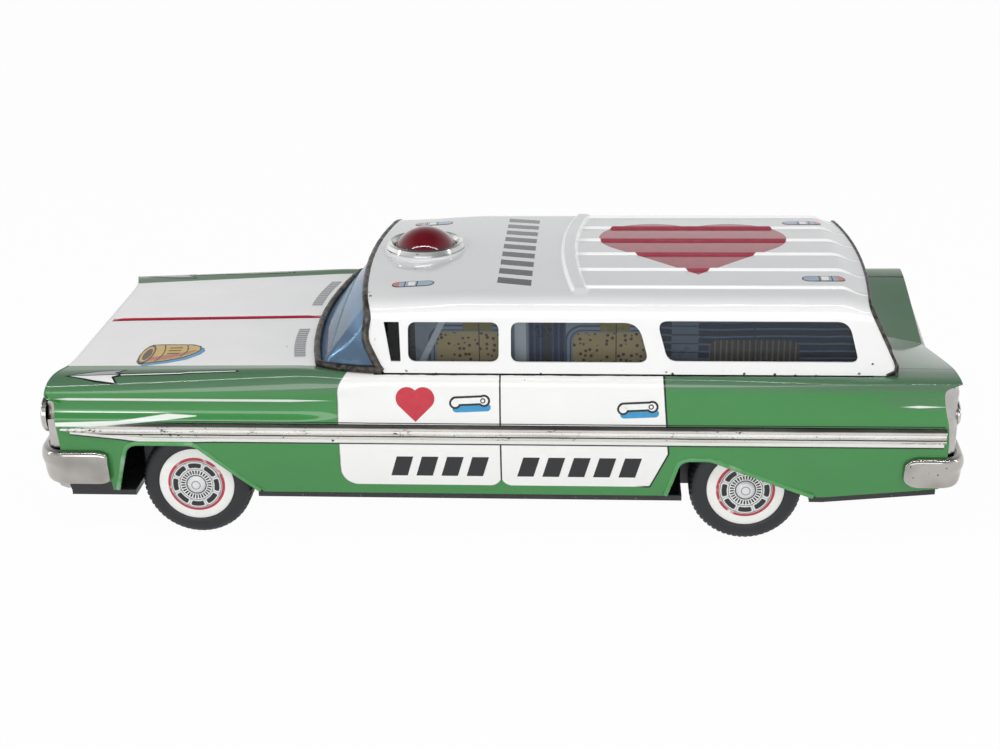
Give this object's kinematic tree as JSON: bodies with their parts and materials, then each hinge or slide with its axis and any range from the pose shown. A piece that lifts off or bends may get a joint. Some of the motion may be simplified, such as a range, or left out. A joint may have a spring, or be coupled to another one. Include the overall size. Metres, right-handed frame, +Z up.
{
  "type": "toy ambulance",
  "caption": "Pressed-tin toy station-wagon ambulance with a friction drive: finned body, ribbed roof with a round beacon, plated bumpers and side strips, and rolling wheels.",
  "frame": {"origin": "middle of the bounding box on the floor that the wheels stand on", "axes": "-X towards the nose, +Y towards the car's right side, +Z up"},
  "size_m": [0.267, 0.1084, 0.0788],
  "materials": {
    "body_print": "gloss printed tin",
    "roof_print": "gloss printed tin",
    "plated": "worn plated tin",
    "dark_frame": "worn dark plated tin",
    "clear_pane": "clear celluloid sheet",
    "inner_print": "printed tin",
    "base_black": "gloss black tin",
    "lamp_clear": "clear lens",
    "lamp_red": "red lens",
    "tyre_rubber": "moulded rubber",
    "disc_print": "printed tin disc",
    "steel": "drawn steel",
    "brass_gear": "stamped brass",
    "flywheel_iron": "cast"
  },
  "bodies": {
    "car": {"body_shell": "body_print", "roof_shell": "roof_print", "windscreen": "clear_pane", "windscreen_frame": "dark_frame", "rear_window": "clear_pane", "rear_window_frame": "dark_frame", "side_glazing_left": "clear_pane", "side_glazing_right": "clear_pane", "interior_panel_left": "inner_print", "interior_panel_right": "inner_print", "base_plate": "base_black", "grille": "plated", "headlamps": "lamp_clear", "front_bumper": "plated", "rear_panel": "plated", "tail_lamps": "lamp_red", "rear_bumper": "plated", "trim_left": "plated", "trim_right": "plated", "beacon_ring": "plated", "beacon_dome": "lamp_red", "motor_plate_left": "steel", "motor_plate_right": "steel", "motor_pillars": "steel"},
    "front_wheels": {"front_axle": "steel", "front_hub_left": "disc_print", "front_hub_right": "disc_print", "front_tyre_left": "tyre_rubber", "front_tyre_right": "tyre_rubber"},
    "rear_wheels": {"rear_axle": "steel", "rear_hub_left": "disc_print", "rear_hub_right": "disc_print", "rear_tyre_left": "tyre_rubber", "rear_tyre_right": "tyre_rubber", "axle_gear": "brass_gear"},
    "idler": {"idler_shaft": "steel", "idler_pinion": "brass_gear", "idler_gear": "brass_gear"},
    "flywheel_set": {"flywheel_shaft": "steel", "flywheel_pinion": "brass_gear", "flywheel": "flywheel_iron"}
  },
  "joints": [
    {"name": "front_axle_spin", "type": "hinge", "parent": "car", "child": "front_wheels", "pos_m": [-0.086, 0, 0.016], "axis": [0, 1, 0], "continuous": true},
    {"name": "rear_axle_spin", "type": "hinge", "parent": "car", "child": "rear_wheels", "pos_m": [0.072, 0, 0.016], "axis": [0, 1, 0], "continuous": true},
    {"name": "idler_spin", "type": "hinge", "parent": "car", "child": "idler", "pos_m": [0.06735, 0, 0.02264], "axis": [0, 1, 0], "continuous": true},
    {"name": "flywheel_spin", "type": "hinge", "parent": "car", "child": "flywheel_set", "pos_m": [0.05953, 0, 0.02473], "axis": [0, 1, 0], "continuous": true}
  ],
  "couplings": [
    {"joint": "idler_spin", "follows": "rear_axle_spin", "ratio": -3},
    {"joint": "flywheel_spin", "follows": "rear_axle_spin", "ratio": 9}
  ]
}
